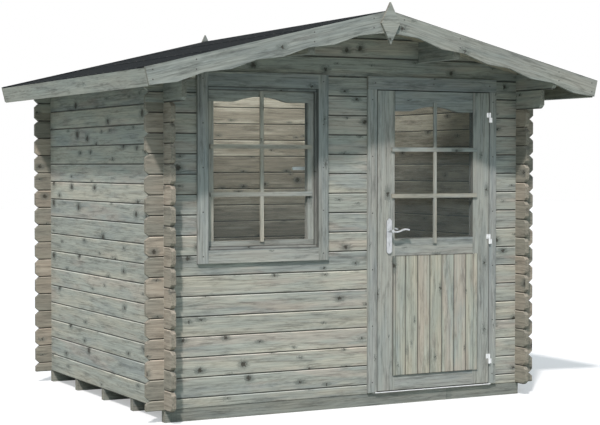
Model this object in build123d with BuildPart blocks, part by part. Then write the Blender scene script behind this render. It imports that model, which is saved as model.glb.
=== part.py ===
from build123d import *
import os
from math import atan, cos, degrees, sqrt

os.makedirs("parts", exist_ok=True)

# Log cabin in millimetres. X runs across the front, Y from front to back, Z up from the ground.
# The front wall, with its window and door, faces -Y.

# Logs
LOG = 28.0
COURSE = 114.0
BEVEL = 5.0
LOG_END = 105.0
END_BEVEL_ALONG = 25.0
END_BEVEL_UP = 22.0
LAP = COURSE / 4

# Plan of the walls, over their outer faces
WIDTH = 2410.0
DEPTH = 1930.0
FRONT_OVERHANG = 417.0
BACK_OVERHANG = 148.0
LEFT = -WIDTH / 2
RIGHT = WIDTH / 2
FRONT = -(DEPTH + FRONT_OVERHANG + BACK_OVERHANG) / 2 + FRONT_OVERHANG
BACK = FRONT + DEPTH

# Joists and floor
JOIST_COUNT = 5
JOIST_WIDTH = 45.0
JOIST_HEIGHT = 70.0
JOIST_SETBACK = 5.0
FLOOR_THICK = 18.0
BASE = JOIST_HEIGHT

# Side walls start on a whole log, front and back walls on half a log
SIDE_COURSES = 17
CORBEL_REACH = 255.0
PLATE_REACH = 380.0
LINTEL_COURSE = 16

# Roof
SLOPE = 0.242
PITCH = degrees(atan(SLOPE))
UPRIGHT = sqrt(1 + SLOPE**2)
RIDGE_UNDERSIDE = BASE + 2212.0
BOARD_THICK = 18.0
FELT_THICK = 3.0
ROOF_HALF = 1482.0
TRIM_THICK = 18.0
PURLIN_OFFSET = 480.0
PURLIN_WIDTH = 44.0
PURLIN_DEPTH = 116.0
PURLIN_SETBACK = 19.0
ROOF_FRONT = FRONT - FRONT_OVERHANG + TRIM_THICK
ROOF_BACK = BACK + BACK_OVERHANG - TRIM_THICK

# Barge boards, with a lower edge that steps between two depths
BARGE_TOP = BASE + 2236.0
BARGE_DEEP = 118.5
BARGE_SHALLOW = 100.5
BARGE_FIRST = 40.0
BARGE_STEPS = 9
BARGE_PAST = 1.0
FINIAL_WIDTH = 120.0
FINIAL_HEIGHT = 240.0
FINIAL_CENTRE = BASE + 2163.0
FASCIA_DEPTH = 98.0

# Window
WINDOW_X = -587.5
WINDOW_HOLE = (725.0, BASE + 863.0, BASE + 1817.0)
WINDOW_TRIM_OUT = (835.0, BASE + 811.0, BASE + 1890.0)
WINDOW_TRIM_IN = (701.0, BASE + 887.0, BASE + 1806.0)
WINDOW_LIP_IN = (684.0, BASE + 902.0, BASE + 1790.0)
WINDOW_SEAT_IN = (705.0, BASE + 873.0, BASE + 1807.0)
SASH_OUT = (699.0, BASE + 876.0, BASE + 1804.0)
SASH_GLASS = (603.0, BASE + 934.0, BASE + 1725.0)
ARCH_RISE = 30.0
ARCH_SWEEP = 190.0
ARCH_TURN = 0.25
FRAME_DEPTH = 60.0
LIP_DEPTH = 17.0
SASH_THICK = 36.0
GLASS_THICK = 4.0
LIP_SETBACK = 7.0
BAR_WIDTH = 25.0
BAR_UPRIGHT = 22.0
BAR_THICK = 10.0
BAR_OVERLAP = 24.0
WINDOW_BAR_ENDS = (BASE + 925.0, BASE + 1787.0)
WINDOW_BAR_LEVELS = (BASE + 1198.0, BASE + 1470.0)
CASING_THICK = 17.0

# Fastener on the room side of the window's right stile: a back plate, a neck and a grip bar
FASTENER_X = -262.0
FASTENER_LEVEL = BASE + 1345.0
FASTENER_PLATE = (24.0, 62.0, 4.0)
FASTENER_NECK_R = 7.0
FASTENER_STAND = 24.0
FASTENER_GRIP = (98.0, 19.0, 11.0)
FASTENER_CORNER = 5.0

# Door
DOOR_X = 563.0
LEAF = (798.0, BASE + 17.0, BASE + 1807.0)
LEAF_THICK = 40.0
STILE = 119.0
DOOR_GAP = 5.0
DOOR_HOLE_WIDTH = 856.0
JAMB_THICK = 24.0
STOP_WIDTH = 20.0
STOP_JOINT = 1.0
DOOR_CASING_OUT = BASE + 1890.0
DOOR_CASING = (60.0, 50.0)
SILL_TOP = BASE + 11.0
STRIP_THICK = 5.0
STRIP_NOSE = 2.0
DOOR_GLASS = (BASE + 926.0, BASE + 1687.0)
MID_RAIL = (BASE + 821.0, BASE + 926.0)
BOTTOM_RAIL_TOP = BASE + 105.0
PANEL_X = (267.0, 875.0)
PANEL_PROUD = 8.0
PANEL_BACK = 9.0
PANEL_BOARDS = 7
PANEL_GROOVE = 4.0
DOOR_BAR_LEVELS = (BASE + 1180.0, BASE + 1458.0)
DOOR_BAR_ENDS = (BASE + 891.0, BASE + 1741.0)

# Hinges and lever handle
HINGE_LEVELS = (BASE + 166.0, BASE + 908.0, BASE + 1657.0)
HINGE_R = 7.0
HINGE_HEIGHT = 60.0
HINGE_PIN_R = 3.0
HINGE_PIN_SIDES = 12
HINGE_PIN_UP = 24.0
HINGE_CLEAR = 0.2
HINGE_WASHER = 1.0
HINGE_CAP = 3.0
HINGE_TAB = (20.0, 3.0)
PLATE_X = 241.0
PLATE_WIDTH = 36.0
PLATE_LOW = BASE + 836.0
PLATE_SHOULDER = BASE + 1035.0
PLATE_TOP = BASE + 1047.0
PLATE_TOP_WIDTH = 20.0
PLATE_THICK = 8.0
KEYHOLE_LEVEL = BASE + 891.0
KEYHOLE = (7.0, 24.0)
KEYHOLE_DEEP = 3.0
LEVER_LEVEL = BASE + 972.0
LEVER_STAND = 45.0
LEVER_CLEAR = 1.0
LEVER_DEEP = 14.0
NECK_R = 9.0
SPINDLE = 7.0
SPINDLE_HOLE_R = 6.0
# Middle of the lever's grip: how far from the neck, and how high
LEVER_DIP = (28.0, -4.0)
LEVER_TURN = (60.0, 4.0)
LEVER_TIP = (114.0, 4.0)
LEVER_THICK = 9.0


def roof_underside(x):
    """Height of the underside of the roof boards at a distance x from the ridge."""
    return RIDGE_UNDERSIDE - SLOPE * abs(x)


def facing_front(y):
    """Plane at depth y that faces the front, with its axes along X and Z."""
    return Plane(origin=(0, y, 0), x_dir=(1, 0, 0), z_dir=(0, -1, 0))


def save(made, name):
    made.label = name
    export_step(made, f"parts/{name}.step")


def log_section(outer, inner, bottom, top):
    """Cross-section of a log: its four long edges are bevelled for the V joints."""
    low = bottom + BEVEL
    high = top - BEVEL
    side = BEVEL if inner > outer else -BEVEL
    Polygon(
        (outer, low), (outer + side, bottom), (inner - side, bottom), (inner, low),
        (inner, high), (inner - side, top), (outer + side, top), (outer, high),
        align=None,
    )


def log_outline(start, end, bottom, top, bevels="abcd"):
    """Long face of a log. bevels names the corners cut off: a and b the lower ones at the
    start and the end, c and d the upper ones at the end and the start."""
    along = END_BEVEL_ALONG
    up = END_BEVEL_UP
    points = []
    points += [(start, bottom + up), (start + along, bottom)] if "a" in bevels else [(start, bottom)]
    points += [(end - along, bottom), (end, bottom + up)] if "b" in bevels else [(end, bottom)]
    points += [(end, top - up), (end - along, top)] if "c" in bevels else [(end, top)]
    points += [(start + along, top), (start, top - up)] if "d" in bevels else [(start, top)]
    Polygon(*points, align=None)


def corner_laps(corners, joints):
    """Half-lap notches where the logs of the crossing walls pass through."""
    places = [(corner, joint) for corner in corners for joint in joints]
    with Locations(*places):
        Rectangle(LOG, 2 * LAP, mode=Mode.SUBTRACT)


def side_bottom(course):
    return BASE + COURSE * (course - 1)


def end_bottom(course):
    return BASE + max(0.0, COURSE * (course - 0.5))


def end_top(course):
    return BASE + COURSE * (course + 0.5)


side_joints = [side_bottom(course) for course in range(1, SIDE_COURSES + 1)]
end_joints = [end_top(course) for course in range(LINTEL_COURSE + 1)]
side_corners = (FRONT + LOG / 2, BACK - LOG / 2)
end_corners = (LEFT + LOG / 2, RIGHT - LOG / 2)


def side_logs(outer, inner, courses, front_reach, bevels):
    """Whole logs of a side wall, in the open part: the section, cut to the long outline."""
    start = FRONT - front_reach
    end = BACK + LOG_END
    with BuildSketch(facing_front(start)) as section:
        for course in courses:
            log_section(outer, inner, side_bottom(course), side_bottom(course + 1))
    extrude(section.sketch, amount=start - end)
    with BuildSketch(Plane.YZ.offset(min(outer, inner))) as face:
        for course in courses:
            log_outline(start, end, side_bottom(course), side_bottom(course + 1), bevels)
        corner_laps(side_corners, side_joints)
    extrude(face.sketch, amount=LOG, mode=Mode.INTERSECT)


purlin_bottom = roof_underside(PURLIN_OFFSET) - PURLIN_DEPTH


def roof_gap(reach):
    """Everything above the underside of the roof, taken off a gable's outline."""
    Polygon(
        (-reach, roof_underside(reach)), (0, RIDGE_UNDERSIDE), (reach, roof_underside(reach)),
        (reach, BARGE_TOP), (-reach, BARGE_TOP),
        align=None, mode=Mode.SUBTRACT,
    )


def end_logs(outer, inner, courses, start, end, bevels):
    """Logs of the front or back wall between two places, before their openings are cut."""
    with BuildSketch(Plane.YZ.offset(start)) as section:
        for course in courses:
            log_section(outer, inner, end_bottom(course), end_top(course))
    extrude(section.sketch, amount=end - start)
    with BuildSketch(facing_front(max(outer, inner))) as face:
        for course in courses:
            corners = bevels.replace("a", "").replace("b", "") if course == 0 else bevels
            log_outline(start, end, end_bottom(course), end_top(course), corners)
        corner_laps(end_corners, end_joints)
        if max(courses) > LINTEL_COURSE:
            roof_gap(WIDTH)
            with Locations((-PURLIN_OFFSET, purlin_bottom), (PURLIN_OFFSET, purlin_bottom)):
                Rectangle(PURLIN_WIDTH, 2 * PURLIN_DEPTH, align=(Align.CENTER, Align.MIN),
                          mode=Mode.SUBTRACT)
    extrude(face.sketch, amount=LOG, mode=Mode.INTERSECT)


# Joists across the width, the first and last flush under the front and back walls
joist_pitch = (DEPTH - JOIST_WIDTH) / (JOIST_COUNT - 1)
joist_rows = [(0, FRONT + JOIST_WIDTH / 2 + joist_pitch * row) for row in range(JOIST_COUNT)]
with BuildPart() as floor_joists:
    with Locations(*joist_rows):
        Box(WIDTH - 2 * JOIST_SETBACK, JOIST_WIDTH, JOIST_HEIGHT,
            align=(Align.CENTER, Align.CENTER, Align.MIN))
save(floor_joists.part, "floor_joists")

# Floor laid on the joists between the walls, cut round the door frame
with BuildPart() as floor_boards:
    with BuildSketch(Plane.XY.offset(BASE)) as plan:
        with Locations((0, (FRONT + BACK) / 2)):
            Rectangle(WIDTH - 2 * LOG, DEPTH - 2 * LOG)
        with Locations((DOOR_X, FRONT + LOG)):
            Rectangle(DOOR_HOLE_WIDTH, FRAME_DEPTH - LOG, align=(Align.CENTER, Align.MIN),
                      mode=Mode.SUBTRACT)
    extrude(amount=FLOOR_THICK)
save(floor_boards.part, "floor_boards")

# Side walls: alternate logs, then the log that corbels out under the roof
for side, outer, inner in (("left", LEFT, LEFT + LOG), ("right", RIGHT, RIGHT - LOG)):
    for parity, first in (("odd", 1), ("even", 2)):
        with BuildPart() as side_wall:
            side_logs(outer, inner, range(first, SIDE_COURSES - 1, 2), LOG_END, "abcd")
        save(side_wall.part, f"{side}_wall_{parity}_logs")

with BuildPart() as corbel_logs:
    side_logs(LEFT, LEFT + LOG, [SIDE_COURSES - 1], CORBEL_REACH, "abc")
    mirror(about=Plane.YZ)
save(corbel_logs.part, "corbel_logs")

# Wall plates: the top side logs, ripped to the slope of the roof, which reach to the barge boards
plate_bottom = side_bottom(SIDE_COURSES)
with BuildPart() as wall_plates:
    with BuildSketch(facing_front(FRONT - PLATE_REACH)) as section:
        Polygon(
            (LEFT, plate_bottom + BEVEL), (LEFT + BEVEL, plate_bottom),
            (LEFT + LOG - BEVEL, plate_bottom), (LEFT + LOG, plate_bottom + BEVEL),
            (LEFT + LOG, roof_underside(LEFT + LOG)), (LEFT, roof_underside(LEFT)),
            align=None,
        )
    extrude(amount=-(DEPTH + PLATE_REACH + LOG_END))
    with BuildSketch(Plane.YZ.offset(LEFT)) as face:
        log_outline(FRONT - PLATE_REACH, BACK + LOG_END, plate_bottom, plate_bottom + COURSE, "ab")
        corner_laps(side_corners, side_joints)
    extrude(amount=LOG, mode=Mode.INTERSECT)
    mirror(about=Plane.YZ)
save(wall_plates.part, "wall_plates")

# Back wall: alternate logs up to the eaves
for parity, first in (("odd", 1), ("even", 0)):
    with BuildPart() as back_wall:
        end_logs(BACK, BACK - LOG, range(first, LINTEL_COURSE + 1, 2), LEFT - LOG_END,
                 RIGHT + LOG_END, "abcd")
    save(back_wall.part, f"back_wall_{parity}_logs")

# Gables: the logs between the wall plates, cut to the slope and round the purlins
gable_courses = {"outer": (LINTEL_COURSE + 1, LINTEL_COURSE + 3), "middle": (LINTEL_COURSE + 2,)}
for end, outer, inner in (("front", FRONT, FRONT + LOG), ("back", BACK, BACK - LOG)):
    for group, courses in gable_courses.items():
        with BuildPart() as gable:
            end_logs(outer, inner, courses, LEFT + LOG, RIGHT - LOG, "")
        save(gable.part, f"{end}_gable_{group}_logs")

# Front wall: alternate logs, cut out for the window and the door
window_hole = (WINDOW_X, (WINDOW_HOLE[1] + WINDOW_HOLE[2]) / 2)
window_hole_height = WINDOW_HOLE[2] - WINDOW_HOLE[1]
door_hole_top = LEAF[2] + DOOR_GAP + JAMB_THICK


def front_openings():
    with BuildSketch(facing_front(FRONT + LOG)) as openings:
        with Locations(window_hole):
            Rectangle(WINDOW_HOLE[0], window_hole_height)
        with Locations((DOOR_X, 0)):
            Rectangle(DOOR_HOLE_WIDTH, door_hole_top, align=(Align.CENTER, Align.MIN))
    extrude(openings.sketch, amount=LOG, mode=Mode.SUBTRACT)


front_groups = {
    "front_wall_odd_logs": range(1, LINTEL_COURSE, 2),
    "front_wall_even_logs": range(0, LINTEL_COURSE, 2),
    "front_lintel_log": [LINTEL_COURSE],
}
for name, courses in front_groups.items():
    with BuildPart() as front_wall:
        end_logs(FRONT, FRONT + LOG, courses, LEFT - LOG_END, RIGHT + LOG_END, "abcd")
        front_openings()
    save(front_wall.part, name)

# Purlins under the boards, let into both gables
with BuildPart() as purlins:
    with BuildSketch(facing_front(ROOF_FRONT + PURLIN_SETBACK)) as section:
        near = PURLIN_OFFSET - PURLIN_WIDTH / 2
        far = PURLIN_OFFSET + PURLIN_WIDTH / 2
        Polygon(
            (near, purlin_bottom), (far, purlin_bottom),
            (far, roof_underside(far)), (near, roof_underside(near)),
            align=None,
        )
        mirror(about=Plane.YZ)
    extrude(amount=-(ROOF_BACK - ROOF_FRONT - 2 * PURLIN_SETBACK))
save(purlins.part, "purlins")

# Roof boards, one slope each, with their felt and the fascia along the eaves
eave = ROOF_HALF - TRIM_THICK * cos(atan(SLOPE))
felt_base = RIDGE_UNDERSIDE + BOARD_THICK * UPRIGHT
for side, sign in (("left", -1), ("right", 1)):
    with BuildPart() as roof_boards:
        with BuildSketch(facing_front(ROOF_FRONT)) as section:
            drop = BOARD_THICK * UPRIGHT
            lean = BOARD_THICK * SLOPE / UPRIGHT
            Polygon(
                (0, RIDGE_UNDERSIDE), (sign * (eave - lean), roof_underside(eave - lean)),
                (sign * eave, roof_underside(eave) + drop), (0, felt_base),
                align=None,
            )
        extrude(amount=ROOF_FRONT - ROOF_BACK)
    save(roof_boards.part, f"roof_boards_{side}")

    with BuildPart() as roof_felt:
        with BuildSketch(facing_front(ROOF_FRONT)) as section:
            fall = SLOPE * ROOF_HALF
            felt_top = felt_base + FELT_THICK * UPRIGHT
            Polygon(
                (0, felt_base), (sign * ROOF_HALF, felt_base - fall),
                (sign * ROOF_HALF, felt_top - fall), (0, felt_top),
                align=None,
            )
        extrude(amount=ROOF_FRONT - ROOF_BACK)
    save(roof_felt.part, f"roof_felt_{side}")

with BuildPart() as eaves_fascias:
    with BuildSketch(facing_front(ROOF_FRONT)) as section:
        with Locations(Location((ROOF_HALF, felt_base - SLOPE * ROOF_HALF, 0), (0, 0, -PITCH))):
            Rectangle(TRIM_THICK, FASCIA_DEPTH, align=(Align.MAX, Align.MAX))
        mirror(about=Plane.YZ)
    extrude(amount=ROOF_FRONT - ROOF_BACK)
save(eaves_fascias.part, "eaves_fascias")


def barge_line(x, depth=0.0):
    return BARGE_TOP - SLOPE * x - depth


# Barge boards: straight along the top, the lower edge stepped, the end cut square to the slope
barge_end = ROOF_HALF + BARGE_PAST
cut_back = BARGE_SHALLOW * SLOPE / UPRIGHT**2
step = (barge_end - cut_back - BARGE_FIRST) / BARGE_STEPS
for end, y in (("front", FRONT - FRONT_OVERHANG), ("back", BACK + BACK_OVERHANG - TRIM_THICK)):
    for side, sign in (("left", -1), ("right", 1)):
        with BuildPart() as barge:
            with BuildSketch(facing_front(y)) as face:
                lower = [(0, barge_line(BARGE_FIRST, BARGE_DEEP))]
                for n in range(BARGE_STEPS + 1):
                    x = BARGE_FIRST + step * n
                    lower.append((x, barge_line(x, BARGE_SHALLOW if n % 2 else BARGE_DEEP)))
                outline = [(0, BARGE_TOP)] + lower + [(barge_end, barge_line(barge_end))]
                Polygon(*[(sign * x, z) for x, z in outline], align=None)
            extrude(amount=-TRIM_THICK)
        save(barge.part, f"barge_{end}_{side}")

# Diamond finials over the joints of the barge boards
with BuildPart() as finials:
    for y in (FRONT - FRONT_OVERHANG, BACK + BACK_OVERHANG + TRIM_THICK):
        with BuildSketch(facing_front(y)) as face:
            Polygon(
                (0, FINIAL_CENTRE - FINIAL_HEIGHT / 2), (FINIAL_WIDTH / 2, FINIAL_CENTRE),
                (0, FINIAL_CENTRE + FINIAL_HEIGHT / 2), (-FINIAL_WIDTH / 2, FINIAL_CENTRE),
                align=None,
            )
        extrude(amount=TRIM_THICK)
save(finials.part, "finials")


def opening(size, x, mode=Mode.ADD):
    """Upright rectangle of a width and two heights, centred on x."""
    with Locations((x, (size[1] + size[2]) / 2)):
        Rectangle(size[0], size[2] - size[1], mode=mode)


def arched(width, low, shoulder, x, mode=Mode.ADD):
    """Opening whose flat top swells up in the middle, each half an ogee of two arcs that meet
    on the straight line between their ends."""
    half = width / 2
    with BuildLine() as outline:
        Polyline((x - ARCH_SWEEP, shoulder), (x - half, shoulder), (x - half, low), (x + half, low),
                 (x + half, shoulder), (x + ARCH_SWEEP, shoulder))
        for side in (-1, 1):
            turn = (x + side * ARCH_SWEEP * (1 - ARCH_TURN), shoulder + ARCH_RISE * ARCH_TURN)
            TangentArc((x + side * ARCH_SWEEP, shoulder), turn, tangent=(-side, 0))
            TangentArc((x, shoulder + ARCH_RISE), turn, tangent=(side, 0))
    make_face(outline.edges(), mode=mode)


# Window frame: a lip that shows outside, set back behind the casing, and the seat of the sash
frame_back = FRONT + FRAME_DEPTH
sash_front = FRONT + LIP_SETBACK + LIP_DEPTH
with BuildPart() as window_frame:
    with BuildSketch(facing_front(frame_back)) as face:
        opening(WINDOW_HOLE, WINDOW_X)
        opening(WINDOW_LIP_IN, WINDOW_X, Mode.SUBTRACT)
    extrude(amount=FRAME_DEPTH - LIP_SETBACK)
    with BuildSketch(facing_front(frame_back)) as seat:
        opening(WINDOW_SEAT_IN, WINDOW_X)
    extrude(amount=frame_back - sash_front, mode=Mode.SUBTRACT)
save(window_frame.part, "window_frame")

with BuildPart() as window_casing_sides:
    with BuildSketch(facing_front(FRONT)) as face:
        opening(WINDOW_TRIM_OUT, WINDOW_X)
        opening((WINDOW_TRIM_IN[0], WINDOW_TRIM_OUT[1], WINDOW_TRIM_OUT[2]), WINDOW_X, Mode.SUBTRACT)
    extrude(amount=CASING_THICK)
save(window_casing_sides.part, "window_casing_sides")

with BuildPart() as window_casing_rails:
    with BuildSketch(facing_front(FRONT)) as face:
        opening((WINDOW_TRIM_IN[0], WINDOW_TRIM_OUT[1], WINDOW_TRIM_OUT[2]), WINDOW_X)
        opening(WINDOW_TRIM_IN, WINDOW_X, Mode.SUBTRACT)
    extrude(amount=CASING_THICK)
save(window_casing_rails.part, "window_casing_rails")

sash_glass_y = sash_front + SASH_THICK / 2
with BuildPart() as window_sash:
    with BuildSketch(facing_front(sash_front)) as face:
        opening(SASH_OUT, WINDOW_X)
        arched(*SASH_GLASS, WINDOW_X, Mode.SUBTRACT)
    extrude(amount=-SASH_THICK)
save(window_sash.part, "window_sash")

with BuildPart() as window_glass:
    with BuildSketch(facing_front(sash_glass_y)) as face:
        arched(*SASH_GLASS, WINDOW_X)
    extrude(amount=-GLASS_THICK)
save(window_glass.part, "window_glass")


def glazing_bars(x, foot, head, reach, levels):
    """Upright bar with cross bars halved into it."""
    with Locations((x, (foot + head) / 2)):
        Rectangle(BAR_UPRIGHT, head - foot)
    with Locations(*[(x, level) for level in levels]):
        Rectangle(reach, BAR_WIDTH)


with BuildPart() as window_bars:
    with BuildSketch(facing_front(sash_front)) as face:
        glazing_bars(WINDOW_X, *WINDOW_BAR_ENDS, SASH_GLASS[0] + 2 * BAR_OVERLAP, WINDOW_BAR_LEVELS)
    extrude(amount=BAR_THICK)
save(window_bars.part, "window_bars")

with BuildPart() as window_handle:
    sash_back = sash_front + SASH_THICK
    with BuildSketch(facing_front(sash_back + FASTENER_PLATE[2])) as back_plate:
        with Locations((FASTENER_X, FASTENER_LEVEL)):
            Rectangle(FASTENER_PLATE[0], FASTENER_PLATE[1])
    extrude(amount=FASTENER_PLATE[2])
    with BuildSketch(facing_front(sash_back + FASTENER_STAND)) as neck:
        with Locations((FASTENER_X, FASTENER_LEVEL)):
            Circle(FASTENER_NECK_R)
    extrude(amount=FASTENER_STAND)
    with BuildSketch(facing_front(sash_back + FASTENER_STAND + FASTENER_GRIP[2])) as grip:
        with Locations((FASTENER_X + FASTENER_NECK_R, FASTENER_LEVEL)):
            Rectangle(FASTENER_GRIP[0], FASTENER_GRIP[1], align=(Align.MAX, Align.CENTER))
        chamfer(grip.vertices(), FASTENER_CORNER)
    extrude(amount=FASTENER_GRIP[2])
save(window_handle.part, "window_handle")

# Door frame: jambs and head in the opening, stops for the leaf, casing over the joint
jamb_out = (DOOR_HOLE_WIDTH, BASE, door_hole_top)
jamb_in = (DOOR_HOLE_WIDTH - 2 * JAMB_THICK, BASE, door_hole_top - JAMB_THICK)
leaf_front = FRONT - CASING_THICK
leaf_back = leaf_front + LEAF_THICK
stop_front = leaf_back + DOOR_GAP
stop_thick = FRAME_DEPTH - (stop_front - FRONT)

for name, keep in (("door_jambs", jamb_in), ("door_head", None)):
    with BuildPart() as frame_piece:
        with BuildSketch(facing_front(FRONT)) as face:
            if keep:
                opening((jamb_out[0], BASE, keep[2]), DOOR_X)
                opening((keep[0], BASE, keep[2]), DOOR_X, Mode.SUBTRACT)
            else:
                opening((jamb_out[0], jamb_in[2], jamb_out[2]), DOOR_X)
        extrude(amount=-FRAME_DEPTH)
    save(frame_piece.part, name)

stop_clear = jamb_in[0] - 2 * STOP_WIDTH
with BuildPart() as door_stops:
    with BuildSketch(facing_front(stop_front)) as face:
        opening((jamb_in[0], SILL_TOP, jamb_in[2]), DOOR_X)
        opening((stop_clear, SILL_TOP, jamb_in[2]), DOOR_X, Mode.SUBTRACT)
        opening((stop_clear - 2 * STOP_JOINT, jamb_in[2] - STOP_WIDTH, jamb_in[2]), DOOR_X)
    extrude(amount=-stop_thick)
save(door_stops.part, "door_stops")

casing_left = DOOR_X - jamb_in[0] / 2
casing_right = DOOR_X + jamb_in[0] / 2
with BuildPart() as door_casing_sides:
    with BuildSketch(facing_front(FRONT)) as face:
        with Locations((casing_left, SILL_TOP)):
            Rectangle(DOOR_CASING[0], jamb_in[2] - SILL_TOP, align=(Align.MAX, Align.MIN))
        with Locations((casing_right, SILL_TOP)):
            Rectangle(DOOR_CASING[1], jamb_in[2] - SILL_TOP, align=(Align.MIN, Align.MIN))
    extrude(amount=CASING_THICK)
save(door_casing_sides.part, "door_casing_sides")

with BuildPart() as door_casing_head:
    with BuildSketch(facing_front(FRONT)) as face:
        with Locations((casing_left - DOOR_CASING[0], jamb_in[2])):
            Rectangle(jamb_in[0] + sum(DOOR_CASING), DOOR_CASING_OUT - jamb_in[2],
                      align=(Align.MIN, Align.MIN))
    extrude(amount=CASING_THICK)
save(door_casing_head.part, "door_casing_head")

with BuildPart() as door_sill:
    with BuildSketch(Plane.XY.offset(BASE)) as plan:
        with Locations((DOOR_X, FRONT)):
            Rectangle(jamb_in[0], FRAME_DEPTH, align=(Align.CENTER, Align.MIN))
    extrude(amount=SILL_TOP - BASE)
save(door_sill.part, "door_sill")

with BuildPart() as sill_strip:
    with BuildSketch(Plane.XY.offset(SILL_TOP - STRIP_THICK)) as plan:
        with Locations((DOOR_X, FRONT)):
            Rectangle(jamb_in[0] + JAMB_THICK, CASING_THICK + STRIP_NOSE,
                      align=(Align.CENTER, Align.MAX))
    extrude(amount=STRIP_THICK)
save(sill_strip.part, "sill_strip")

# Door leaf: stiles and rails, the lower panel of upright boards, glass and bars
leaf_left = DOOR_X - LEAF[0] / 2
leaf_right = DOOR_X + LEAF[0] / 2
clear_width = LEAF[0] - 2 * STILE
with BuildPart() as door_stiles:
    with BuildSketch(facing_front(leaf_back)) as face:
        opening(LEAF, DOOR_X)
        opening((clear_width, LEAF[1], LEAF[2]), DOOR_X, Mode.SUBTRACT)
        with Locations((PLATE_X, LEVER_LEVEL)):
            Circle(SPINDLE_HOLE_R, mode=Mode.SUBTRACT)
    extrude(amount=LEAF_THICK)
save(door_stiles.part, "door_stiles")

with BuildPart() as door_rails:
    with BuildSketch(facing_front(leaf_back)) as face:
        opening((clear_width, LEAF[1], LEAF[2]), DOOR_X)
        arched(clear_width, *DOOR_GLASS, DOOR_X, Mode.SUBTRACT)
        opening((clear_width, BOTTOM_RAIL_TOP, MID_RAIL[0]), DOOR_X, Mode.SUBTRACT)
    extrude(amount=LEAF_THICK)
save(door_rails.part, "door_rails")

panel_width = PANEL_X[1] - PANEL_X[0]
panel_pitch = panel_width / PANEL_BOARDS
with BuildPart() as door_panel:
    with BuildSketch(facing_front(leaf_back - PANEL_BACK)) as core:
        opening((clear_width, BOTTOM_RAIL_TOP, MID_RAIL[0]), DOOR_X)
    extrude(amount=LEAF_THICK - PANEL_BACK)
    with BuildSketch(facing_front(leaf_front)) as face:
        opening((panel_width, BOTTOM_RAIL_TOP, MID_RAIL[0]), sum(PANEL_X) / 2)
    extrude(amount=PANEL_PROUD)
    with BuildSketch(Plane.XY.offset(BOTTOM_RAIL_TOP)) as joints:
        with Locations(*[(PANEL_X[0] + panel_pitch * n, leaf_front - PANEL_PROUD)
                         for n in range(1, PANEL_BOARDS)]):
            Rectangle(PANEL_GROOVE, PANEL_GROOVE, rotation=45)
    extrude(amount=MID_RAIL[0] - BOTTOM_RAIL_TOP, mode=Mode.SUBTRACT)
save(door_panel.part, "door_panel")

with BuildPart() as door_glass:
    with BuildSketch(facing_front(leaf_front + LEAF_THICK / 2 + GLASS_THICK / 2)) as face:
        arched(clear_width, *DOOR_GLASS, DOOR_X)
    extrude(amount=GLASS_THICK)
save(door_glass.part, "door_glass")

with BuildPart() as door_bars:
    with BuildSketch(facing_front(leaf_front)) as face:
        glazing_bars(DOOR_X, *DOOR_BAR_ENDS, clear_width + 2 * BAR_OVERLAP, DOOR_BAR_LEVELS)
    extrude(amount=BAR_THICK)
save(door_bars.part, "door_bars")

# Lift-off hinges in the gap beside the leaf: a pinned lower half, and an upper half that turns
hinge_x = leaf_right + DOOR_GAP / 2
hinge_y = leaf_front - HINGE_R
half_height = HINGE_HEIGHT / 2
with BuildPart() as hinge_lower_halves:
    for level in HINGE_LEVELS:
        with BuildSketch(Plane.XY.offset(level - half_height)) as barrel:
            with Locations((hinge_x, hinge_y)):
                Circle(HINGE_R)
            with Locations((hinge_x, leaf_front)):
                Rectangle(*HINGE_TAB, align=(Align.MIN, Align.MAX))
        extrude(amount=half_height)
        with BuildSketch(Plane.XY.offset(level)) as pin:
            with Locations((hinge_x, hinge_y)):
                RegularPolygon(HINGE_PIN_R, HINGE_PIN_SIDES)
        extrude(amount=HINGE_PIN_UP)
save(hinge_lower_halves.part, "hinge_lower_halves")

with BuildPart() as hinge_upper_halves:
    for level in HINGE_LEVELS:
        with BuildSketch(Plane.XY.offset(level + HINGE_WASHER)) as barrel:
            with Locations((hinge_x, hinge_y)):
                Circle(HINGE_R)
            with Locations((hinge_x, leaf_front)):
                Rectangle(*HINGE_TAB, align=(Align.MAX, Align.MAX))
        extrude(amount=half_height - HINGE_WASHER)
        with BuildSketch(Plane.XY.offset(level + HINGE_WASHER)) as bore:
            with Locations((hinge_x, hinge_y)):
                RegularPolygon(HINGE_PIN_R + HINGE_CLEAR, HINGE_PIN_SIDES)
        extrude(amount=half_height - HINGE_WASHER - HINGE_CAP, mode=Mode.SUBTRACT)
save(hinge_upper_halves.part, "hinge_upper_halves")

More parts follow.
